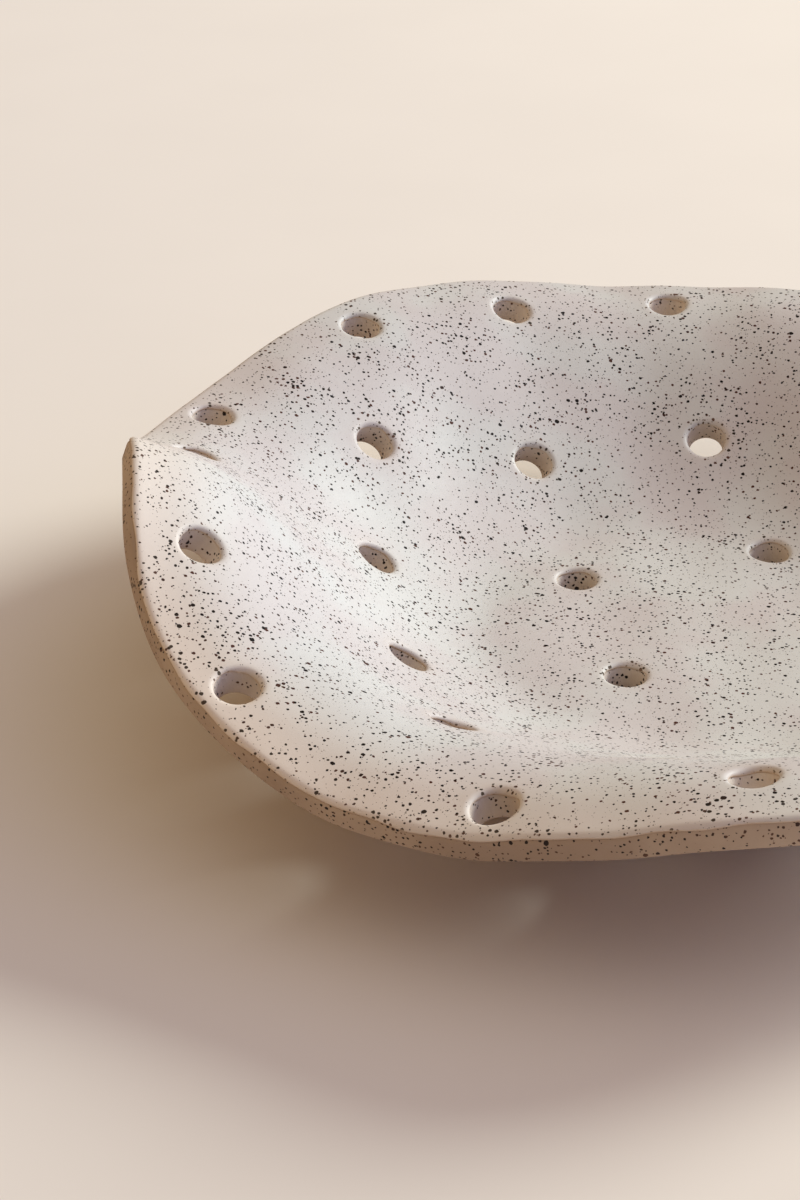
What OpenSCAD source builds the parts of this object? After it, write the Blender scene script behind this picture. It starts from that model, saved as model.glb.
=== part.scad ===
// Berry colander bowl: a shallow stoneware dish with a waving rim and a pinched lip,
// punched all over with drain holes, glazed on top and standing on three small clay feet.
// The origin is on the table, under the middle of the bowl's outline. +Z is up,
// and the pinched lip points along -X.

/* [Bowl] */
// Mean distance from the middle of the bowl to the rim
rim_r = 111; // [100:1:125]
// Mean height of the rim over the floor, measured on the top face
bowl_depth = 28; // [20:1:36]
// Thickness of the clay, square to its faces
wall_t = 5.5; // [4:0.5:7]
// Radius of the level floor
floor_r = 38; // [30:1:44]
// Width of the level band inside the rim
flare_w = 8; // [2:1:16]
// Radius that softens both corners of the rim's edge
edge_r = 1.5; // [0.5:0.25:1.75]

/* [Rim] */
// Height of the tallest wave of the rim
wave_lift = 3.3; // [0:0.1:4.5]
// How far the widest wave moves the rim in and out
wave_sway = 1.2; // [0:0.1:3]
// Direction of the pinched lip, turned from +X towards +Y
pinch_turn_angle = 187; // [180:1:190]
// Angle over which the pinch dies away on each side
pinch_fade_angle = 15; // [12:1:20]
// How far the pinch lifts the rim
pinch_lift = 14.5; // [0:0.5:18]
// How far the pinch draws the rim in
pinch_in = 6.5; // [0:0.5:8]

/* [Drain holes] */
// Diameter of the punch that cut the holes
drain_d = 8.5; // [6:0.5:9.5]

/* [Base and feet] */
// Radius of the flat base under the floor
base_r = 48; // [47:1:52]
// Width of the turn from the flat base up to the underside of the wall
base_turn_w = 12; // [8:1:16]
// Height of the feet
foot_h = 4; // [3:0.5:8]
// Diameter of a foot where it stands on the table
foot_d = 11.5; // [9:0.5:13]
// How far the side of a foot swells out on the way up to the base
foot_side = 2.5; // [1:0.25:3]
// Distance from the middle of the bowl to the middle of a foot
foot_circle_r = 37; // [34:0.5:37]
// Direction of the first foot, turned from +X towards +Y
foot_turn_angle = 90; // [85:1:95]

/* [Glaze] */
// Thickness of the fired glaze
glaze_t = 0.4; // [0.3:0.05:0.8]
// How far the glaze draws back from the mouth of each hole
glaze_back = 0.5; // [0.3:0.1:1]

/* [Hidden] */

full_turn = 360;
half_turn = full_turn / 2;
quarter_turn = full_turn / 4;

feet_n = 3;
sectors = 90;       // points round each ring of the bowl
rings = 15;         // rings from the middle to the rim
edge_steps = 2;     // facets that round each corner of the rim's edge
side_steps = 8;     // bands that curve the side of a foot
round_fn = 48;      // facets of the turned feet and the bores as drawn

base_z = foot_h;
floor_z = base_z + wall_t;
slope_step = wall_t / 20;   // distance over which a slope is measured
drain_len = 3 * wall_t;     // the punch passes well clear of both faces
sector_a = full_turn / sectors;

// Waves round the rim: the number of crests, the height or reach of the wave
// as a share of wave_lift or wave_sway, and the direction of one crest
lift_wave_shares = [
    [1, 0.91, 95], [2, 0.91, -30], [3, 0.24, -60], [4, 0.45, 10], [5, 1, -15]
];
sway_wave_shares = [[2, 0.83, 45], [3, 1, -40], [4, 0.58, 15], [6, 0.58, -10]];

// Places of the holes: direction, and distance from the middle as a share of rim_r
rim_drain_shares = [
    [0, 0.89], [22, 0.91], [44, 0.90], [66, 0.91], [87.4, 0.912], [108.4, 0.882],
    [130.2, 0.895], [158.1, 0.912], [171.6, 0.871], [199.1, 0.872], [217.2, 0.945],
    [246.8, 0.921], [270.8, 0.865], [294, 0.91], [316, 0.90], [338, 0.91]
];
wall_drain_shares = [
    [18, 0.57], [48, 0.59], [80.7, 0.594], [115.6, 0.564], [143.6, 0.68], [168, 0.555],
    [203.8, 0.533], [230.1, 0.65], [260, 0.58], [290, 0.58], [318, 0.57], [348, 0.56]
];
// The same on the floor, as a share of floor_r
floor_drain_shares = [[57.4, 1.034], [132.5, 0.76], [234.1, 0.558], [5, 0.76]];

drains = concat(
    [for (d = rim_drain_shares) [d[0], d[1] * rim_r]],
    [for (d = wall_drain_shares) [d[0], d[1] * rim_r]],
    [for (d = floor_drain_shares) [d[0], d[1] * floor_r]]
);

// A smooth step from 0 to 1
function ease(t) = let (c = min(1, max(0, t))) c * c * (3 - 2 * c);

// The sum of a set of waves in the direction a
function waves(rows, a) = [for (w = rows) w[1] * cos(w[0] * (a - w[2]))] * [for (w = rows) 1];

// How strongly the pinch acts in the direction a, from 0 to 1
function pinch(a) =
    let (off = (a - pinch_turn_angle + full_turn + half_turn) % full_turn - half_turn)
    exp(-pow(off / pinch_fade_angle, 2));

// Distance from the middle to the rim, and the rim's rise over its mean height
function rim_at(a) = rim_r + wave_sway * waves(sway_wave_shares, a) - pinch_in * pinch(a);
function lift_at(a) = wave_lift * waves(lift_wave_shares, a) + pinch_lift * pinch(a);

// Height of the clay's top face: a level floor, an S-shaped wall and a level band,
// with the rim's waves dying away towards the floor
function top_z(r, a) =
    let (
        rim = rim_at(a),
        wall = ease((r - floor_r) / (rim - flare_w - floor_r)),
        wave = pow(max(0, (r - floor_r) / (rim - floor_r)), 2)
    )
    floor_z + bowl_depth * wall + lift_at(a) * wave;

function top_point(r, a) = [r * cos(a), r * sin(a), top_z(r, a)];

// Unit vectors on the top face: outwards along it, and square to it
function slope_r(r, a) = (top_z(r + slope_step, a) - top_z(r - slope_step, a)) / (2 * slope_step);
function slope_a(r, a) =
    let (turn = slope_step / r * half_turn / PI)
    (top_z(r, a + turn) - top_z(r, a - turn)) / (2 * slope_step);
function unit(v) = v / norm(v);
function outward(r, a) = unit([cos(a), sin(a), slope_r(r, a)]);
function normal(r, a) =
    let (s = slope_r(r, a), t = slope_a(r, a))
    unit([t * sin(a) - s * cos(a), -t * cos(a) - s * sin(a), 1]);

// A point under the top face by the wall's thickness, pressed flat where the base is
function under_point(r, a) =
    let (
        p = top_point(r, a) - wall_t * normal(r, a),
        out = norm([p[0], p[1]]),
        flat = ease((out - base_r) / base_turn_w)
    )
    [p[0], p[1], base_z + (p[2] - base_z) * flat];

// Radius of a ring, from the first round the middle to the last before the rim's edge
function ring_r(j, a) = (rim_at(a) - edge_r) * j / rings;

// The rounded edge of the rim, from the top face to the underside
function edge_point(a, over, down) =
    let (r = ring_r(rings, a))
    top_point(r, a) + edge_r * over * outward(r, a) - down * normal(r, a);
edge_upper = [for (k = [1 : edge_steps])
    let (t = quarter_turn * k / edge_steps)
    [sin(t), edge_r * (1 - cos(t))]];
edge_lower = [for (k = [0 : edge_steps - 1])
    let (t = quarter_turn * k / edge_steps)
    [cos(t), wall_t - edge_r + edge_r * sin(t)]];
edge_rows = concat(edge_upper, edge_lower);

// The middle of the rim's outline, which comes to lie over the origin
angles = [for (i = [0 : sectors - 1]) i * sector_a];
rim_points = [for (e = edge_rows, a = angles) edge_point(a, e[0], e[1])];
rim_x = [for (p = rim_points) p[0]];
rim_y = [for (p = rim_points) p[1]];
middle = [(min(rim_x) + max(rim_x)) / 2, (min(rim_y) + max(rim_y)) / 2];

// Faces of a closed solid made of rows of points between two poles.
// From row turn_row on, the squares are split the other way, so that
// the lower faces of one solid match the upper faces of the one below it.
function row_faces(row_n, turn_row) = concat(
    [for (i = [0 : sectors - 1]) [0, 1 + (i + 1) % sectors, 1 + i]],
    [for (j = [0 : row_n - 2], i = [0 : sectors - 1])
        let (a = 1 + j * sectors + i, b = 1 + j * sectors + (i + 1) % sectors)
        each j < turn_row
            ? [[a, b, b + sectors], [a, b + sectors, a + sectors]]
            : [[a, b, a + sectors], [b, b + sectors, a + sectors]]],
    [for (i = [0 : sectors - 1])
        let (last = 1 + (row_n - 1) * sectors)
        [1 + row_n * sectors, last + i, last + (i + 1) % sectors]]
);

module bowl_blank() {
    points = concat(
        [[0, 0, floor_z]],
        [for (j = [1 : rings], a = angles) top_point(ring_r(j, a), a)],
        rim_points,
        [for (j = [rings : -1 : 1], a = angles) under_point(ring_r(j, a), a)],
        [[0, 0, base_z]]
    );
    row_n = 2 * rings + len(edge_rows);
    polyhedron(points, row_faces(row_n, row_n));
}

module glaze_blank() {
    points = concat(
        [[0, 0, floor_z + glaze_t]],
        [for (j = [1 : rings], a = angles)
            let (r = ring_r(j, a)) top_point(r, a) + glaze_t * normal(r, a)],
        [for (j = [rings : -1 : 1], a = angles) top_point(ring_r(j, a), a)],
        [[0, 0, floor_z]]
    );
    polyhedron(points, row_faces(2 * rings, rings));
}

// The path of the punch at every hole, square to the top face
module drain_holes(d) {
    for (h = drains) {
        n = normal(h[1], h[0]);
        translate(top_point(h[1], h[0]) - wall_t * n)
            rotate([0, acos(n[2]), atan2(n[1], n[0])])
                cylinder(h = drain_len, d = d, center = true, $fn = round_fn);
    }
}

module bowl_body() {
    color("tan")
        translate(-middle)
            difference() {
                bowl_blank();
                drain_holes(drain_d);
            }
}

module glaze_coat() {
    color("linen")
        translate(-middle)
            difference() {
                glaze_blank();
                drain_holes(drain_d + 2 * glaze_back);
            }
}

// One foot: a pad pressed flat on the table, whose side is a quarter of an ellipse
module foot(i) {
    a = foot_turn_angle + i * full_turn / feet_n;
    side = [for (k = [0 : side_steps])
        let (t = quarter_turn * k / side_steps)
        [foot_d / 2 + foot_side * sin(t), foot_h * (1 - cos(t))]];
    color("peru")
        translate(foot_circle_r * [cos(a), sin(a)] - middle)
            rotate_extrude($fn = round_fn)
                polygon(concat([[0, 0]], side, [[0, foot_h]]));
}

bowl_body();
glaze_coat();
foot(0);  // foot_1
foot(1);  // foot_2
foot(2);  // foot_3
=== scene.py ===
import math

import bpy
import numpy as np
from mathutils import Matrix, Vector
from mathutils.geometry import delaunay_2d_cdt


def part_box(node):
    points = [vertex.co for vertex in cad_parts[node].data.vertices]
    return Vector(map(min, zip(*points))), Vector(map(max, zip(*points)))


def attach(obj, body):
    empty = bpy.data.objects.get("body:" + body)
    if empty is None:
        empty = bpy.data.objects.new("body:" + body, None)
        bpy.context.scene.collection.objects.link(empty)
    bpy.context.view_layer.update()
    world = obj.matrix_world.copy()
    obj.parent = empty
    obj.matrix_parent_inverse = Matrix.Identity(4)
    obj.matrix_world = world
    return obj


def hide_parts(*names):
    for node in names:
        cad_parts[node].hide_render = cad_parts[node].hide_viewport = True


# Berry colander bowl: a shallow stoneware dish with a waving rim and a pinched lip, punched all over
# with drain holes. The clay is left bare on the underside, on the rim's edge and in the holes, and
# the top face is glazed. All lengths are in millimetres until a mesh is written.
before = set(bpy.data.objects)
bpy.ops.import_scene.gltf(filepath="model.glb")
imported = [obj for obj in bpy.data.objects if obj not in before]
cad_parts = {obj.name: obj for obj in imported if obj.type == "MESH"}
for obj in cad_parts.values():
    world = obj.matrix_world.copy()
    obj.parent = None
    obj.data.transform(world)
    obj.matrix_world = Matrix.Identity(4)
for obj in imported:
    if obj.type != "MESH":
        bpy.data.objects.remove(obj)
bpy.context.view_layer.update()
mm = 0.001
print("frame loaded, nodes:", ", ".join(sorted(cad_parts)))

view = {
    "aim": (-56.8, 11.3, 9.9),   # point of the object in the middle of the picture
    "elevation": 28.8,           # degrees above the floor
    "distance": 541.9,
    "lens": 80.85,
    "sensor": 36.0,              # along the picture's long side
    "farthest": 20000.0,         # nothing past this distance is drawn
}


def placeCamera():
    tilt = math.radians(view["elevation"])
    forward = Vector((0, math.cos(tilt), -math.sin(tilt)))
    camera = bpy.data.objects.new("camera", bpy.data.cameras.new("camera"))
    camera.data.lens = view["lens"]
    camera.data.sensor_width = view["sensor"]
    camera.data.clip_end = view["farthest"] * mm
    camera.location = (Vector(view["aim"]) - view["distance"] * forward) * mm
    camera.rotation_euler = forward.to_track_quat("-Z", "Y").to_euler()
    bpy.context.collection.objects.link(camera)
    bpy.context.scene.camera = camera


placeCamera()
bpy.context.scene.view_settings.view_transform = "Standard"
print("camera placed")

# The form of the bowl, the same as the CAD part's
form = {
    "rimRadius": 111.0,      # mean distance from the middle to the rim
    "rimPoints": 720,        # points along the rim
    "depth": 28.0,           # mean height of the rim over the floor
    "wall": 5.5,             # thickness of the clay
    "floorRadius": 38.0,
    "flareWidth": 8.0,       # level band inside the rim
    "edgeRound": 1.5,        # softens both corners of the rim's edge
    "waveLift": 3.3,
    "waveSway": 1.2,
    "pinchTurn": 187.0,      # direction of the pinched lip, degrees from +X
    "pinchFade": 15.0,
    "pinchLift": 14.5,
    "pinchIn": 6.5,
    "pinchWiden": 0.4,       # how much wider the pinch is at the floor's edge
    "baseRadius": 48.0,      # flat base under the floor
    "baseTurnWidth": 12.0,
    # Waves round the rim: crests, share of the lift or sway, and the direction of one crest
    "liftWaves": [(1, 0.91, 95), (2, 0.91, -30), (3, 0.24, -60), (4, 0.45, 10), (5, 1, -15)],
    "swayWaves": [(2, 0.83, 45), (3, 1, -40), (4, 0.58, 15), (6, 0.58, -10)],
    # Unevenness that the fingers leave: length of a wave, its direction and its start, degrees
    "handHeight": 0.1,       # of each wave
    "handWaves": [(47, 20, 40), (38, 105, 200), (31, 62, 310), (26, 150, 90), (22, 8, 150)],
}

# The drain holes, punched square to the top face
drains = {
    "diameter": 8.5,
    "taper": 0.6,            # how much less the radius is at the underside
    "lip": 1.0,              # rounds the mouth on the top face
    "lowerLip": 0.45,        # rounds it on the underside
    "lobe": 0.012,           # how far a hole is from round, as a share of its radius
    "chance": 7,
    "around": 48,            # points round a hole
    # Places: direction in degrees, and distance as a share of the rim's or the floor's radius
    "rim": [
        (0, 0.89), (22, 0.91), (44, 0.90), (66, 0.91), (87.4, 0.912), (108.4, 0.882), (130.2, 0.895),
        (158.1, 0.912), (171.6, 0.871), (199.1, 0.872), (217.2, 0.945), (246.8, 0.921),
        (270.8, 0.865), (294, 0.91), (316, 0.90), (338, 0.91),
    ],
    "wall": [
        (18, 0.57), (48, 0.59), (80.7, 0.594), (115.6, 0.564), (143.6, 0.68), (168, 0.555),
        (203.8, 0.533), (230.1, 0.65), (260, 0.58), (290, 0.58), (318, 0.57), (348, 0.56),
    ],
    "floor": [(57.4, 1.034), (132.5, 0.76), (234.1, 0.558), (5, 0.76)],
}

footBoxes = [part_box(f"foot_{i}") for i in (1, 2, 3)]
footMiddles = [(low + high) / 2 / mm for low, high in footBoxes]
middle = -np.array(sum(footMiddles, Vector()) / 3)[:2]   # the origin, seen from the bowl's own middle
baseHeight = footBoxes[0][1].z / mm
floorHeight = baseHeight + form["wall"]


# A smooth step from 0 to 1
def ease(t):
    t = np.clip(t, 0, 1)
    return t * t * (3 - 2 * t)


# A sum of cosine waves round the rim
def waves(rows, turn):
    return sum(share * np.cos(crests * (turn - math.radians(at))) for crests, share, at in rows)


# The pinch is a bell curve of the angle from the lip's direction. It widens away from the rim,
# which reach 1 stands for.
def pinch(turn, reach=1.0):
    off = (np.degrees(turn) - form["pinchTurn"] + 540) % 360 - 180
    fade = form["pinchFade"] * (1 + form["pinchWiden"] * (1 - reach))
    return np.exp(-(off / fade) ** 2)


def rimRadius(turn):
    sway = form["waveSway"] * waves(form["swayWaves"], turn)
    return form["rimRadius"] + sway - form["pinchIn"] * pinch(turn)


def rimLift(turn, reach):
    return form["waveLift"] * waves(form["liftWaves"], turn) + form["pinchLift"] * pinch(turn, reach)


# Low waves across the whole face, as hand-pressed clay has
def handMarks(x, y):
    rows = np.radians([(0, direction, start) for _, direction, start in form["handWaves"]])
    lengths = np.array([length for length, _, _ in form["handWaves"]])
    along = np.multiply.outer(x, np.cos(rows[:, 1])) + np.multiply.outer(y, np.sin(rows[:, 1]))
    return form["handHeight"] * np.sin(2 * np.pi * along / lengths + rows[:, 2]).sum(-1)


# The top face over a point of the plan: a level floor, an S-shaped wall and a level band,
# with the rim's waves dying away towards the floor as the square of the distance
def topPoint(x, y):
    r, turn = np.hypot(x, y), np.arctan2(y, x)
    rim = rimRadius(turn)
    wall = ease((r - form["floorRadius"]) / (rim - form["flareWidth"] - form["floorRadius"]))
    reach = np.clip((r - form["floorRadius"]) / (rim - form["floorRadius"]), 0, None)
    z = floorHeight + form["depth"] * wall + rimLift(turn, reach) * reach ** 2 + handMarks(x, y)
    return np.stack([x, y, z], -1)


def unit(v):
    return v / np.linalg.norm(v, axis=-1, keepdims=True)


# Square to the top face, from the slopes over a small step
def topNormal(x, y, step=0.05):
    alongX = topPoint(x + step, y) - topPoint(x - step, y)
    alongY = topPoint(x, y + step) - topPoint(x, y - step)
    return unit(np.cross(alongX, alongY))


# The underside lies under the top face by the wall, and is pressed flat where the base is
def underPoint(x, y):
    p = topPoint(x, y) - form["wall"] * topNormal(x, y)
    flat = ease((np.hypot(p[..., 0], p[..., 1]) - form["baseRadius"]) / form["baseTurnWidth"])
    p[..., 2] = baseHeight + (p[..., 2] - baseHeight) * flat
    return p


# A frame at each hole: its middle on the top face, its axis and two directions across it
def drainFrames():
    places = [(at, share * form["rimRadius"]) for at, share in drains["rim"] + drains["wall"]]
    places += [(at, share * form["floorRadius"]) for at, share in drains["floor"]]
    turn, r = np.radians([p[0] for p in places]), np.array([p[1] for p in places])
    x, y = r * np.cos(turn), r * np.sin(turn)
    axis = topNormal(x, y)
    across = unit(np.array([1, 0, 0]) - axis[:, :1] * axis)
    return topPoint(x, y), axis, across, np.cross(axis, across)


drainMiddle, drainAxis, drainAcross, drainUp = drainFrames()
drainCount = len(drainMiddle)
around = np.arange(drains["around"]) * 2 * np.pi / drains["around"]


# Slightly unround holes: the radius in each direction, with two and three lobes turned by chance
def drainRadius(phi):
    start = np.random.default_rng(drains["chance"]).uniform(0, 2 * np.pi, (2, drainCount, 1))
    lobes = np.cos(2 * phi - start[0]) + 0.7 * np.cos(3 * phi - start[1])
    return drains["diameter"] / 2 * (1 + drains["lobe"] * lobes)


holeRadius = drainRadius(around)


# Points round each hole at a distance from its axis and a height along it
def ringAt(distance, height):
    side = np.cos(around)[:, None] * drainAcross[:, None] + np.sin(around)[:, None] * drainUp[:, None]
    return drainMiddle[:, None] + distance[..., None] * side + height[..., None] * drainAxis[:, None]


# The step in the plan from distances along a hole's two directions
def planStep(u, v):
    return u[..., None] * drainAcross[:, None, :2] + v[..., None] * drainUp[:, None, :2]


# Where a surface meets a tube of the given radius round each hole's axis: the plan place is
# moved by what it misses the tube by, which dies away within a few rounds
def mouthPlan(surface, radius, rounds=12):
    u, v = radius * np.cos(around), radius * np.sin(around)
    plan = drainMiddle[:, None, :2] + planStep(u, v)
    for _ in range(rounds):
        reach = surface(plan[..., 0], plan[..., 1]) - drainMiddle[:, None]
        missU = u - (reach * drainAcross[:, None]).sum(-1)
        missV = v - (reach * drainUp[:, None]).sum(-1)
        plan += planStep(missU, missV)
    return plan


rimTurn = np.arange(form["rimPoints"]) * 2 * np.pi / form["rimPoints"]


# Distance of points from the nearest hole's axis, which counts as far as it passes the clay
def mouthDistance(points):
    reach = points[:, None] - drainMiddle
    u = (reach * drainAcross).sum(-1)
    v = (reach * drainUp).sum(-1)
    w = (reach * drainAxis).sum(-1)
    past = 3 * form["wall"]
    return np.where(np.abs(w) < past, np.hypot(u, v), np.inf).min(-1)


# How far inside the edge of a face places of the plan lie
def edgeDistance(plan):
    return rimRadius(np.arctan2(plan[:, 1], plan[:, 0])) - form["edgeRound"] - np.hypot(*plan.T)


# Distances between the rows of a sheet, as shares of its spacing
rowGaps = {
    "first": 0.45,           # from an edge to the first row along it
    "mouth": 1.0,            # from a mouth to the second row round it
    "rim": 1.1,              # from the rim to the second row inside it
    "rows": 0.3,             # rows keep this clear of the other edges
    "grid": 1.6,             # and the grid keeps this clear of every edge
}


# One face of the shell as a sheet of triangles between the rim and the mouths of the holes.
# Rings of points follow both, an even grid lies between them, and the triangles that join them
# are Delaunay's. It returns the points, the triangles, and the points along the rim and the mouths.
def sheet(surface, mouthRadius, spacing):
    def rimRing(inset, every):
        turn = rimTurn[::every]
        r = rimRadius(turn) - form["edgeRound"] - inset
        return np.stack([r * np.cos(turn), r * np.sin(turn)], -1)

    def keep(plan, gap):
        away = mouthDistance(surface(plan[:, 0], plan[:, 1])) - mouthRadius.mean()
        return plan[np.minimum(away, edgeDistance(plan)) > gap * spacing]

    mouths = mouthPlan(surface, mouthRadius)
    nearCollar = mouthPlan(surface, mouthRadius + rowGaps["first"] * spacing)
    farCollar = mouthPlan(surface, mouthRadius + rowGaps["mouth"] * spacing)[:, ::2]
    rows = [rimRing(rowGaps["first"] * spacing, 1), rimRing(rowGaps["rim"] * spacing, 2)]
    rows += [collar.reshape(-1, 2) for collar in (nearCollar, farCollar)]
    rowStep = math.sqrt(0.75)     # between the rows of equal triangles of side 1
    size = int(2 * form["rimRadius"] / (rowStep * spacing)) + 4
    row, column = np.meshgrid(np.arange(size), np.arange(size), indexing="ij")
    grid = np.stack([column + row % 2 / 2, row * rowStep], -1).reshape(-1, 2) * spacing
    free = np.concatenate([
        keep(np.concatenate(rows), rowGaps["rows"]), keep(grid - grid.mean(0), rowGaps["grid"]),
    ])
    plan = np.concatenate([rimRing(0, 1), mouths.reshape(-1, 2), free])

    rimLoop = np.arange(len(rimTurn))
    mouthLoops = len(rimTurn) + np.arange(mouths[..., 0].size).reshape(drainCount, -1)
    edges = np.concatenate([np.stack([loop, np.roll(loop, -1)], -1) for loop in [rimLoop, *mouthLoops]])
    found = delaunay_2d_cdt(plan.tolist(), edges.tolist(), [], 0, 1e-7)
    order = np.array([same[0] for same in found[3]])
    triangles = order[np.array(found[2])]
    # A triangle with all its corners on one loop lies in a hole or past the rim. The free points
    # are numbered below zero, so that no two of them are alike.
    loopOf = np.concatenate([
        0 * rimLoop, 1 + np.repeat(np.arange(drainCount), mouthLoops.shape[1]), -1 - np.arange(len(free)),
    ])[triangles]
    outside = (loopOf[:, 0] == loopOf[:, 1]) & (loopOf[:, 0] == loopOf[:, 2])
    triangles = triangles[~outside]
    a, b, c = (plan[triangles[:, i]] for i in range(3))
    flipped = np.cross(b - a, c - a) < 0
    triangles[flipped] = triangles[flipped][:, ::-1]
    return surface(plan[:, 0], plan[:, 1]), triangles, rimLoop, mouthLoops


# Triangles of a closed strip whose rows each hold one loop of points
def stripFaces(rows):
    a, b = rows[:-1], np.roll(rows[:-1], -1, axis=-1)
    c, d = np.roll(rows[1:], -1, axis=-1), rows[1:]
    return np.concatenate([np.stack([a, b, c], -1).reshape(-1, 3), np.stack([a, c, d], -1).reshape(-1, 3)])


# A piece is written from points in the bowl's own millimetres, and lies about the frame's origin
def addPiece(name, points, triangles, values, material):
    mesh = bpy.data.meshes.new(name)
    place = (points - np.append(middle, 0)) * mm
    mesh.vertices.add(len(place))
    mesh.vertices.foreach_set("co", place.ravel())
    mesh.loops.add(triangles.size)
    mesh.loops.foreach_set("vertex_index", triangles.ravel())
    mesh.polygons.add(len(triangles))
    mesh.polygons.foreach_set("loop_start", np.arange(0, triangles.size, 3))
    mesh.polygons.foreach_set("use_smooth", np.ones(len(triangles), bool))
    for attribute, numbers in values.items():
        mesh.attributes.new(attribute, "FLOAT", "POINT").data.foreach_set("value", numbers)
    mesh.update()
    mesh.materials.append(material)
    piece = bpy.data.objects.new(name, mesh)
    bpy.context.collection.objects.link(piece)
    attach(piece, "root")
    print(f"{name}: {len(triangles)} triangles")
    return piece


# sRGB hex to a linear colour
def colour(code):
    srgb = np.array([int(code[i:i + 2], 16) for i in (1, 3, 5)]) / 255
    linear = np.where(srgb <= 0.04045, srgb / 12.92, ((srgb + 0.055) / 1.055) ** 2.4)
    return (*linear, 1)


# A node with values on its sockets, links into them and its settings. It returns one output.
def addNode(tree, kind, values=None, links=None, out=0, **settings):
    node = tree.nodes.new(kind)
    for name, setting in settings.items():
        setattr(node, name, setting)
    for socket, value in (values or {}).items():
        node.inputs[socket].default_value = value
    for socket, source in (links or {}).items():
        tree.links.new(source, node.inputs[socket])
    return node.outputs[out] if node.outputs else None


def newMaterial(name):
    material = bpy.data.materials.new(name)
    material.use_nodes = True
    material.node_tree.nodes.clear()
    return material, material.node_tree


# The iron specks of both materials. Lengths are in millimetres.
specks = {
    "bleed": 0.035,          # a speck melts into its ground over this width
    "bendSize": 0.6,         # a noise of this scale bends the space, so that no speck is round
    "bend": 0.45,
    "cloudSize": 9.0,        # scale of the clouds that the specks gather in
    "cloudNoise": (0.3, 0.7),    # the noise between the clouds and in them,
    "cloudGrowth": (0.7, 1.25),  # and how large the specks are there
    "rust": (0.55, 0.9),     # chance numbers between which a speck turns from dark to rust
}


# Specks of one class: a ball in each cell of a 3D Voronoi, cut by the surface. Their sizes vary
# by chance and grow in the clouds. It returns the mask and the cell's chance number.
def addSpecks(tree, position, cell, smallest, largest, clouds):
    distance = addNode(tree, "ShaderNodeTexVoronoi", {"Scale": 1 / (cell * mm)}, {"Vector": position})
    chance = addNode(
        tree, "ShaderNodeSeparateColor", links={"Color": distance.node.outputs["Color"]}, out="Red"
    )
    size = addNode(
        tree, "ShaderNodeMapRange", {"To Min": smallest / cell, "To Max": largest / cell},
        {"Value": chance},
    )
    grown = addNode(tree, "ShaderNodeMath", links={0: size, 1: clouds}, operation="MULTIPLY")
    inside = addNode(tree, "ShaderNodeMath", links={0: grown, 1: distance}, operation="SUBTRACT")
    bleed = specks["bleed"] / cell
    mask = addNode(
        tree, "ShaderNodeMapRange", {"From Min": -bleed, "From Max": bleed}, {"Value": inside},
        interpolation_type="SMOOTHSTEP",
    )
    return mask, chance.node.outputs["Green"]


# All specks of a material over its colour, from fine to coarse. It returns the colour and a mask
# of every speck.
def addAllSpecks(tree, position, base, look):
    gather = addNode(
        tree, "ShaderNodeTexNoise", {"Scale": 1 / (specks["cloudSize"] * mm)}, {"Vector": position}
    )
    between, within = specks["cloudNoise"]
    small, large = specks["cloudGrowth"]
    clouds = addNode(
        tree, "ShaderNodeMapRange",
        {"From Min": between, "From Max": within, "To Min": small, "To Max": large}, {"Value": gather},
    )
    bend = addNode(
        tree, "ShaderNodeTexNoise", {"Scale": 1 / (specks["bendSize"] * mm)}, {"Vector": position},
        out="Color",
    )
    bent = addNode(
        tree, "ShaderNodeVectorMath", {1: (specks["bend"] * mm,) * 3}, {0: bend, 2: position},
        operation="MULTIPLY_ADD",
    )
    dark, rusty = colour(look["speckDark"]), colour(look["speckRust"])
    covered = None
    for cell, smallest, largest in look["specks"]:
        mask, chance = addSpecks(tree, bent, cell, smallest, largest, clouds)
        rust = addNode(
            tree, "ShaderNodeMapRange", {"From Min": specks["rust"][0], "From Max": specks["rust"][1]},
            {"Value": chance}, interpolation_type="SMOOTHSTEP",
        )
        speck = addNode(tree, "ShaderNodeMix", {6: dark, 7: rusty}, {0: rust}, out=2, data_type="RGBA")
        base = addNode(
            tree, "ShaderNodeMix", links={0: mask, 6: base, 7: speck}, out=2, data_type="RGBA"
        )
        if covered:
            mask = addNode(tree, "ShaderNodeMath", links={0: covered, 1: mask}, operation="MAXIMUM")
        covered = mask
    return base, covered


# Glazed stoneware: a satin oat-white glaze, poured over clay rich in iron. It looks soft and milky,
# clouded pink and blue-grey where it lies thicker, tan where it thins over an edge, and full of dark
# specks that melted up out of the clay. Along one stretch of the brim at the lip it is drawn lighter and
# creamier.
glazeLook = {
    "thick": "#CBC8C5",
    "pink": "#C8BFBD",
    "cloudSize": 22.0,       # of the pink clouds, mm
    "cloudEdge": (0.38, 0.62),
    "cream": "#E2D3C7",
    "thin": "#CDB49C",
    "tint": 0.5,             # share of the thin colour where the glaze is nearly gone
    "breakSize": 1.4,        # grain in which it breaks there, mm
    "breakEdge": (0.6, 1.1),
    "speckDark": "#140C09",
    "speckRust": "#4D2C23",
    "specks": [(0.66, 0.04, 0.12), (1.05, 0.12, 0.33), (2.5, 0.2, 0.45)],   # cell, radii, mm
    "gloss": 0.5,            # specular level of the glaze,
    "speckGloss": 0.1,       # and of the specks
    "roughness": (0.47, 0.65),
    "rippleSize": 2.2,       # mm
    "rippleDepth": 0.1,
    "rippleStrength": 0.25,
    "ior": 1.5,
}


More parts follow.
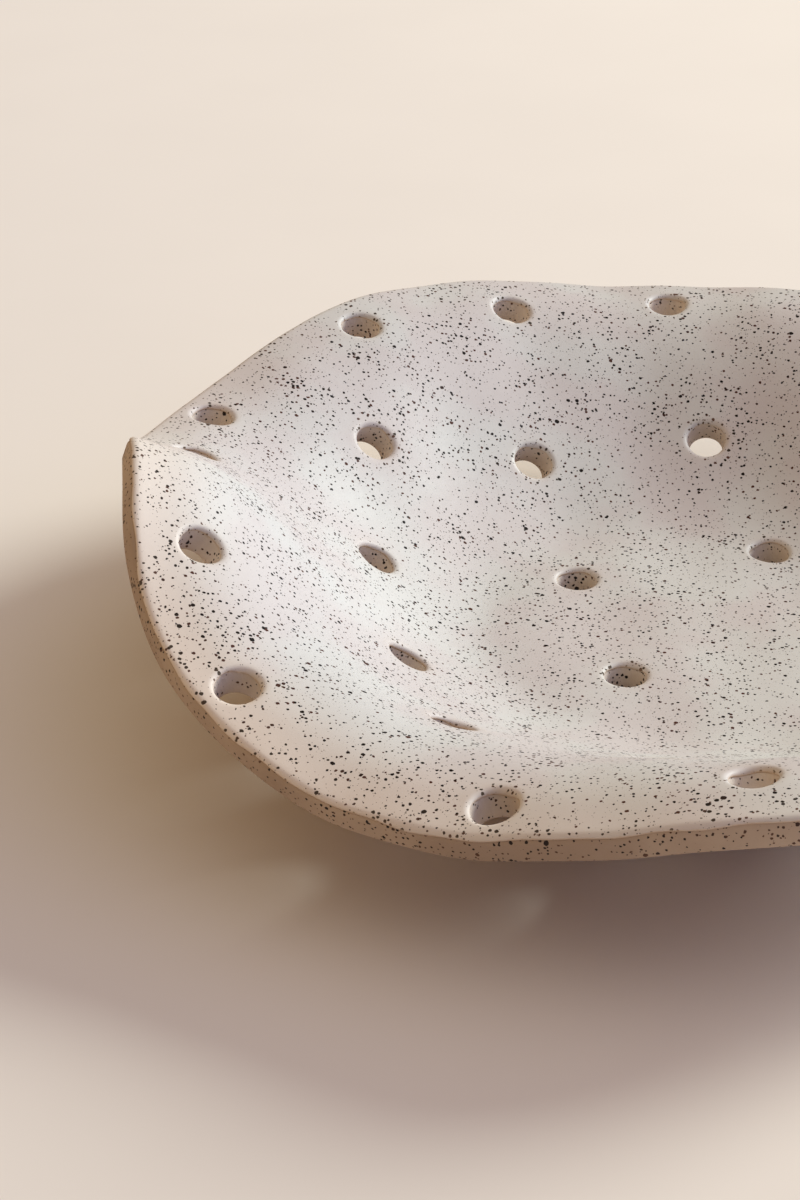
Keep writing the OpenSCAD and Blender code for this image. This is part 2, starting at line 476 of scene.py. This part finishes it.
def makeGlazeMaterial():
    look = glazeLook
    material, tree = newMaterial("oat_white_stoneware_glaze")
    position = addNode(tree, "ShaderNodeTexCoord", out="Object")
    clouds = addNode(
        tree, "ShaderNodeTexNoise", {"Scale": 1 / (look["cloudSize"] * mm), "Detail": 3},
        {"Vector": position},
    )
    clouds = addNode(
        tree, "ShaderNodeMapRange", {"From Min": look["cloudEdge"][0], "From Max": look["cloudEdge"][1]},
        {"Value": clouds}, interpolation_type="SMOOTHSTEP",
    )
    base = addNode(
        tree, "ShaderNodeMix", {6: colour(look["pink"]), 7: colour(look["thick"])}, {0: clouds},
        out=2, data_type="RGBA",
    )
    # Lighter and creamier along one stretch of the brim at the lip
    warm = addNode(tree, "ShaderNodeAttribute", out="Fac", attribute_name="glazeWarm")
    base = addNode(
        tree, "ShaderNodeMix", {7: colour(look["cream"])}, {0: warm, 6: base}, out=2, data_type="RGBA"
    )
    base, speckMask = addAllSpecks(tree, position, base, look)

    # Where the glaze is thin it takes on the clay's colour, at first as a tint, then in grains
    thin = addNode(tree, "ShaderNodeAttribute", out="Fac", attribute_name="glazeThin")
    tint = addNode(tree, "ShaderNodeMath", {1: look["tint"]}, {0: thin}, operation="MULTIPLY")
    base = addNode(
        tree, "ShaderNodeMix", {7: colour(look["thin"])}, {0: tint, 6: base}, out=2, data_type="RGBA"
    )
    grain = addNode(
        tree, "ShaderNodeTexNoise", {"Scale": 1 / (look["breakSize"] * mm), "Detail": 2},
        {"Vector": position},
    )
    broken = addNode(
        tree, "ShaderNodeMath", {1: 0.5}, {0: grain, 2: thin}, operation="MULTIPLY_ADD"
    )
    broken = addNode(
        tree, "ShaderNodeMapRange", {"From Min": look["breakEdge"][0], "From Max": look["breakEdge"][1]},
        {"Value": broken}, interpolation_type="SMOOTHSTEP",
    )
    base = addNode(
        tree, "ShaderNodeMix", {7: colour(look["thin"])}, {0: broken, 6: base}, out=2, data_type="RGBA"
    )

    ripple = addNode(
        tree, "ShaderNodeTexNoise", {"Scale": 1 / (look["rippleSize"] * mm), "Detail": 2},
        {"Vector": position},
    )
    roughness = addNode(
        tree, "ShaderNodeMapRange", {"To Min": look["roughness"][0], "To Max": look["roughness"][1]},
        {"Value": ripple},
    )
    bump = addNode(
        tree, "ShaderNodeBump",
        {"Strength": look["rippleStrength"], "Distance": look["rippleDepth"] * mm}, {"Height": ripple},
    )
    # The specks are dry and matt, so they stay dark where the glaze shines
    gloss = addNode(
        tree, "ShaderNodeMapRange", {"To Min": look["gloss"], "To Max": look["speckGloss"]},
        {"Value": speckMask},
    )
    shader = addNode(
        tree, "ShaderNodeBsdfPrincipled", {"IOR": look["ior"]},
        {"Base Color": base, "Roughness": roughness, "Specular IOR Level": gloss, "Normal": bump},
    )
    addNode(tree, "ShaderNodeOutputMaterial", links={"Surface": shader})
    return material


# Bare fired stoneware: warm tan clay, rubbed smooth with a wet finger. It looks dry and matt, with
# fine grit, toasted patches and the same iron specks as the glaze shows, and it is paler in the
# holes, where a film of glaze has run down.
clayLook = {
    "pale": "#BCA590",
    "toasted": "#A8907C",
    "patchSize": 30.0,       # of the toasted patches, mm
    "patchEdge": (0.35, 0.65),
    "inHole": "#DCD0C6",     # milky film of glaze that runs down into the holes
    "film": 0.85,            # how much of the clay it hides
    "speckDark": "#241812",
    "speckRust": "#5C3E2E",
    "specks": [(0.9, 0.1, 0.29), (2.2, 0.2, 0.44)],   # cell, radii, mm
    "roughness": (0.75, 0.95),
    "gritSize": 0.5,         # mm
    "gritDepth": 0.12,
    "gritStrength": 0.5,
    "ior": 1.5,
}


def makeClayMaterial():
    look = clayLook
    material, tree = newMaterial("bare_stoneware_clay")
    position = addNode(tree, "ShaderNodeTexCoord", out="Object")
    patches = addNode(
        tree, "ShaderNodeTexNoise", {"Scale": 1 / (look["patchSize"] * mm), "Detail": 6},
        {"Vector": position},
    )
    patches = addNode(
        tree, "ShaderNodeMapRange", {"From Min": look["patchEdge"][0], "From Max": look["patchEdge"][1]},
        {"Value": patches}, interpolation_type="SMOOTHSTEP",
    )
    base = addNode(
        tree, "ShaderNodeMix", {6: colour(look["toasted"]), 7: colour(look["pale"])}, {0: patches},
        out=2, data_type="RGBA",
    )
    hole = addNode(tree, "ShaderNodeAttribute", out="Fac", attribute_name="inHole")
    film = addNode(tree, "ShaderNodeMath", {1: look["film"]}, {0: hole}, operation="MULTIPLY")
    base = addNode(
        tree, "ShaderNodeMix", {7: colour(look["inHole"])}, {0: film, 6: base}, out=2, data_type="RGBA"
    )
    base, _ = addAllSpecks(tree, position, base, look)
    grit = addNode(
        tree, "ShaderNodeTexNoise", {"Scale": 1 / (look["gritSize"] * mm), "Detail": 3},
        {"Vector": position},
    )
    roughness = addNode(
        tree, "ShaderNodeMapRange", {"To Min": look["roughness"][0], "To Max": look["roughness"][1]},
        {"Value": grit},
    )
    bump = addNode(
        tree, "ShaderNodeBump",
        {"Strength": look["gritStrength"], "Distance": look["gritDepth"] * mm}, {"Height": grit},
    )
    shader = addNode(
        tree, "ShaderNodeBsdfPrincipled", {"IOR": look["ior"]},
        {"Base Color": base, "Roughness": roughness, "Normal": bump},
    )
    addNode(tree, "ShaderNodeOutputMaterial", links={"Surface": shader})
    return material


clayMaterial = makeClayMaterial()
glazeMaterial = makeGlazeMaterial()
print("materials made")


# A row of the lip of each hole: the arc of the lip at an angle from its top, carried round the
# hole, and lifted off the lip by a thickness over it
def lipRow(loop, radius, lip, angle, over=0.0):
    height = ((loop - drainMiddle[:, None]) * drainAxis[:, None]).sum(-1)
    distance = radius + lip - (lip + over) * np.sin(angle)
    return ringAt(distance, height - lip + (lip + over) * np.cos(angle))


# A row over the corner of the rim's edge: out along the face, and down square to it
def rimRow(out, down):
    out, down = (np.broadcast_to(v, rimTurn.shape)[:, None] for v in (out, down))
    r = rimRadius(rimTurn) - form["edgeRound"]
    x, y = r * np.cos(rimTurn), r * np.sin(rimTurn)
    normal = topNormal(x, y)
    tangent = np.stack([-np.sin(rimTurn), np.cos(rimTurn), 0 * rimTurn], -1)
    outward = unit(np.cross(tangent, normal))
    return topPoint(x, y) + out * outward - down * normal


# A wobble round the rim from a few waves turned by chance, roughly between -1 and 1
def rimWobble(seed, crests):
    start = np.random.default_rng(seed).uniform(0, 2 * np.pi, len(crests))
    return np.cos(np.multiply.outer(rimTurn, crests) - start).mean(-1) * 1.6


# Joins rows of points round each hole to the loops of both faces. It returns the points, the
# triangles, and the count of all points so far.
def joinAtMouths(rows, count, firstLoops, lastLoops):
    ids = count + np.arange(len(rows) * firstLoops.size).reshape(len(rows), drainCount, -1)
    loops = np.concatenate([firstLoops[None], ids, lastLoops[None]])
    faces = [stripFaces(loops[:, k]) for k in range(drainCount)]
    return np.concatenate([row.reshape(-1, 3) for row in rows]), np.concatenate(faces), count + ids.size


# The same for rows along the rim
def joinAtRim(rows, count, firstLoop, lastLoop):
    ids = count + np.arange(len(rows) * len(rimTurn)).reshape(len(rows), -1)
    faces = stripFaces(np.concatenate([firstLoop[None], ids, lastLoop[None]]))[:, ::-1]
    return np.concatenate(rows), faces


clay = {
    "sheetSpacing": 2.2,     # between the points of the underside
    "hiddenSpacing": 3.6,    # between those under the glaze
    "lipStep": 15.0,         # between the rows of a rounded edge, degrees
    "lowerLipStep": 22.5,
    "edgeWobble": 0.12,      # unevenness of the trimmed edge
    "edgeCrests": [7, 11, 17, 23, 31],   # of its waves round the rim
    "edgeChance": 3,
    # The film of glaze in a hole, from the upper lip down the wall to the lower lip
    "film": [1, 1, 1, 1, 1, 1, 0.9, 0.8, 0.7, 0.5, 0.2, 0, 0],
}


# The clay bowl: two sheets, a wall through each hole and the rounded edge of the rim
def addClay():
    lowRadius = holeRadius - drains["taper"]
    top, topFaces, topRim, topMouths = sheet(topPoint, holeRadius + drains["lip"], clay["hiddenSpacing"])
    low, lowFaces, lowRim, lowMouths = sheet(
        underPoint, lowRadius + drains["lowerLip"], clay["sheetSpacing"]
    )
    topLoop, lowLoop = top[topMouths], low[lowMouths]
    lowRim, lowMouths = lowRim + len(top), lowMouths + len(top)
    count = len(top) + len(low)

    # The wall of each hole, from the lip on the top face down to the lip on the underside
    topHeight = ((topLoop - drainMiddle[:, None]) * drainAxis[:, None]).sum(-1) - drains["lip"]
    lowHeight = ((lowLoop - drainMiddle[:, None]) * drainAxis[:, None]).sum(-1) + drains["lowerLip"]
    steps = np.radians(np.arange(clay["lipStep"], 91, clay["lipStep"]))
    rows = [lipRow(topLoop, holeRadius, drains["lip"], a) for a in steps]
    for t in (0.25, 0.5, 0.75, 1):
        rows.append(ringAt(holeRadius - t * drains["taper"], topHeight + t * (lowHeight - topHeight)))
    for a in np.radians(np.arange(90 - clay["lowerLipStep"], 1, -clay["lowerLipStep"])):
        away = drains["lowerLip"] * (1 - math.sin(a))
        rows.append(ringAt(lowRadius + away, lowHeight - drains["lowerLip"] * math.cos(a)))
    wall, wallFaces, edgeStart = joinAtMouths(rows, count, topMouths, lowMouths)

    # The rim's edge, round its upper corner, down and round the lower one
    corner = form["edgeRound"]
    trim = clay["edgeWobble"] * rimWobble(clay["edgeChance"], np.array(clay["edgeCrests"]))
    rows = [rimRow((corner + trim) * math.sin(a), corner * (1 - math.cos(a))) for a in steps]
    for t in (0.33, 0.67, 1):
        rows.append(rimRow(corner + trim, corner + t * (form["wall"] - 2 * corner)))
    for a in steps[-2::-1]:
        rows.append(rimRow((corner + trim) * math.sin(a), form["wall"] - corner * (1 - math.cos(a))))
    edge, edgeFaces = joinAtRim(rows, edgeStart, topRim, lowRim)

    points = np.concatenate([top, low, wall, edge])
    faces = np.concatenate([topFaces, lowFaces[:, ::-1] + len(top), wallFaces, edgeFaces])
    film = [np.zeros(count), np.repeat(clay["film"], topMouths.size), np.zeros(len(edge))]
    values = {"inHole": np.concatenate(film).astype(np.float32)}
    piece = addPiece("clay_bowl", points, faces, values, clayMaterial)
    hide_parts("bowl_body")


glaze = {
    "thickness": 0.4,
    "sheetSpacing": 1.7,     # between the points of its top face
    "lipEnd": 76.0,          # how far the glaze rolls into a hole, degrees round its lip
    "lipWobble": 9.0,
    "lipChance": 11,
    "rimEnd": 50.0,          # how far it rolls over the rim's edge
    "rimWobble": 12.0,
    "rimCrests": [13, 19, 29, 41, 57],
    "rimChance": 5,
    # How thin it is, from 0 on the open face to 1 where it ends: at any edge, and in a band at the rim
    "edgeThin": 0.2,
    "edgeBand": 0.9,         # width over which that fades
    "rimThin": 0.15,
    "rimBand": 4.0,
    # The stretch of brim at the lip that is drawn lighter and creamier
    "warmTurn": 214.0,       # direction of its middle, degrees from +X
    "warmSpread": 45.0,      # angle over which that fades
    "warmBand": 12.0,        # and the distance from the rim
}


# The coat of glaze: a sheet over the clay, another on the clay's own face, and the ends that roll
# over the lips of the holes and the rim's edge and thin out to nothing there
def addGlaze():
    def coatPoint(x, y):
        return topPoint(x, y) + glaze["thickness"] * topNormal(x, y)

    lip, thick = drains["lip"], glaze["thickness"]
    top, topFaces, topRim, topMouths = sheet(coatPoint, holeRadius + lip, glaze["sheetSpacing"])
    low, lowFaces, lowRim, lowMouths = sheet(topPoint, holeRadius + lip, clay["hiddenSpacing"])
    clayLoop = low[lowMouths]
    lowRim, lowMouths = lowRim + len(top), lowMouths + len(top)
    nearMouth = mouthDistance(top) - holeRadius.mean() - lip
    nearRim = edgeDistance(top[:, :2])
    near = np.clip(np.minimum(nearMouth, nearRim), 0, None)
    atEdge = glaze["edgeThin"] * np.exp(-near / glaze["edgeBand"])
    atRim = glaze["rimThin"] * np.exp(-np.clip(nearRim, 0, None) / glaze["rimBand"])
    thin = [np.maximum(atEdge, atRim), np.ones(len(low))]

    # Over the lip of each hole, out to the glaze's end and back along the clay
    start = np.random.default_rng(glaze["lipChance"]).uniform(0, 2 * np.pi, (3, drainCount, 1))
    wobble = sum(np.cos(n * around - start[i]) for i, n in enumerate((2, 3, 5))) / 2
    end = np.radians(glaze["lipEnd"] + glaze["lipWobble"] * wobble)
    rows, shares = [], []
    for t in (0.2, 0.4, 0.6, 0.8, 0.92, 1):
        over = thick * math.sqrt(max(0, 1 - t ** 4))
        rows.append(lipRow(clayLoop, holeRadius, lip, t * end, over))
        shares.append(glaze["edgeThin"] + (1 - glaze["edgeThin"]) * t ** 4)
    for t in (0.67, 0.33):
        rows.append(lipRow(clayLoop, holeRadius, lip, t * end))
        shares.append(1)
    ends, endFaces, rimStart = joinAtMouths(rows, len(top) + len(low), topMouths, lowMouths)
    thin.append(np.repeat(shares, topMouths.size))

    # The same over the rim's edge, with the share of the thickness at each row
    corner = form["edgeRound"]
    wobble = rimWobble(glaze["rimChance"], np.array(glaze["rimCrests"]))
    end = np.radians(glaze["rimEnd"] + glaze["rimWobble"] * wobble)
    rows, shares = [], []
    for t, over in ((0.25, 1), (0.5, 0.97), (0.75, 0.85), (0.9, 0.6), (1, 0), (0.67, 0), (0.33, 0)):
        reach = corner + thick * over
        rows.append(rimRow(reach * np.sin(t * end), corner - reach * np.cos(t * end)))
        shares.append(glaze["edgeThin"] + (1 - glaze["edgeThin"]) * t ** 6 if over else 1)
    edge, edgeFaces = joinAtRim(rows, rimStart, topRim, lowRim)
    thin.append(np.repeat(shares, len(rimTurn)))

    # The lighter, creamier colour is a bell curve of the direction and of the distance from the rim
    points = np.concatenate([top, low, ends, edge])
    faces = np.concatenate([topFaces, lowFaces[:, ::-1] + len(top), endFaces, edgeFaces])
    turn = np.degrees(np.arctan2(points[:, 1], points[:, 0]))
    off = (turn - glaze["warmTurn"] + 540) % 360 - 180
    inwards = np.clip(edgeDistance(points[:, :2]), 0, None)
    warm = np.exp(-(off / glaze["warmSpread"]) ** 2 - (inwards / glaze["warmBand"]) ** 2)
    values = {"glazeThin": np.concatenate(thin).astype(np.float32), "glazeWarm": warm.astype(np.float32)}
    piece = addPiece("glaze", points, faces, values, glazeMaterial)
    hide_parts("glaze_coat")


addClay()
addGlaze()
for name in ("foot_1", "foot_2", "foot_3"):
    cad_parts[name].data.materials.clear()
    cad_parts[name].data.materials.append(clayMaterial)
print("pieces made")

stage = {
    "floor": "#E8E0DA",
    "floorCloud": "#EAE2DC",
    "floorCloudSize": 60.0,
    "floorCloudEdge": (0.2, 0.8),
    "floorRoughness": 0.9,
    "floorGloss": 0.2,       # specular level
    "floorSize": 20000.0,
    "keyTurn": 30.0,         # the window's direction, degrees from +X towards the back
    "keyHeight": 26.0,
    "keyDistance": 3000.0,
    "keySize": 1200.0,
    "keyPower": 105.0,
    "keyColour": "#F9FFF3",
    # Soft light of the room: direction and height, degrees, colour and strength of each glow
    "glows": [(0, 90, "#FFF1D7", 0.68), (0, 15, "#B1BEFF", 1.03), (180, 15, "#FFCA7C", 0.56)],
}


# A unit vector towards a direction and a height over the floor, both in degrees
def towardsAt(turn, height):
    turn, height = math.radians(turn), math.radians(height)
    out = math.cos(height)
    return Vector((out * math.cos(turn), out * math.sin(turn), math.sin(height)))


# Matt paint in warm white, with a trace of unevenness
def makeFloorMaterial():
    material, tree = newMaterial("matt_white_paint")
    position = addNode(tree, "ShaderNodeTexCoord", out="Object")
    clouds = addNode(
        tree, "ShaderNodeTexNoise", {"Scale": 1 / (stage["floorCloudSize"] * mm)}, {"Vector": position}
    )
    low, high = stage["floorCloudEdge"]
    clouds = addNode(
        tree, "ShaderNodeMapRange", {"From Min": low, "From Max": high}, {"Value": clouds},
        interpolation_type="SMOOTHSTEP",
    )
    base = addNode(
        tree, "ShaderNodeMix", {6: colour(stage["floor"]), 7: colour(stage["floorCloud"])}, {0: clouds},
        out=2, data_type="RGBA",
    )
    shader = addNode(
        tree, "ShaderNodeBsdfPrincipled",
        {"Roughness": stage["floorRoughness"], "Specular IOR Level": stage["floorGloss"]},
        {"Base Color": base},
    )
    addNode(tree, "ShaderNodeOutputMaterial", links={"Surface": shader})
    return material


# The room as a sum of glows. Each falls off as the square of the cosine of the angle from its middle.
def makeRoom():
    world = bpy.data.worlds.new("room")
    world.use_nodes = True
    tree = world.node_tree
    direction = addNode(tree, "ShaderNodeTexCoord", out="Generated")
    total = None
    for turn, height, tint, strength in stage["glows"]:
        cosine = addNode(
            tree, "ShaderNodeVectorMath", {1: towardsAt(turn, height)}, {0: direction}, out="Value",
            operation="DOT_PRODUCT",
        )
        ahead = addNode(tree, "ShaderNodeMath", {1: 0}, {0: cosine}, operation="MAXIMUM")
        fall = addNode(tree, "ShaderNodeMath", {1: 2}, {0: ahead}, operation="POWER")
        bright = addNode(tree, "ShaderNodeMath", {1: strength}, {0: fall}, operation="MULTIPLY")
        glow = addNode(
            tree, "ShaderNodeVectorMath", {0: colour(tint)[:3]}, {"Scale": bright}, operation="SCALE"
        )
        if total:
            glow = addNode(tree, "ShaderNodeVectorMath", links={0: total, 1: glow}, operation="ADD")
        total = glow
    tree.links.new(total, tree.nodes["Background"].inputs["Color"])
    return world


def addStage():
    half = stage["floorSize"] / 2 * mm
    corners = [(-half, -half, 0), (half, -half, 0), (half, half, 0), (-half, half, 0)]
    mesh = bpy.data.meshes.new("floor")
    mesh.from_pydata(corners, [], [(0, 1, 2, 3)])
    mesh.materials.append(makeFloorMaterial())
    floor = bpy.data.objects.new("floor", mesh)
    bpy.context.collection.objects.link(floor)
    towards = towardsAt(stage["keyTurn"], stage["keyHeight"])
    lamp = bpy.data.lights.new("window", "AREA")
    lamp.shape = "DISK"
    lamp.size = stage["keySize"] * mm
    lamp.energy = stage["keyPower"]
    lamp.color = colour(stage["keyColour"])[:3]
    window = bpy.data.objects.new("window", lamp)
    window.location = towards * stage["keyDistance"] * mm
    window.rotation_euler = (-towards).to_track_quat("-Z", "Y").to_euler()
    bpy.context.collection.objects.link(window)
    bpy.context.scene.world = makeRoom()


addStage()
print("stage and light set")
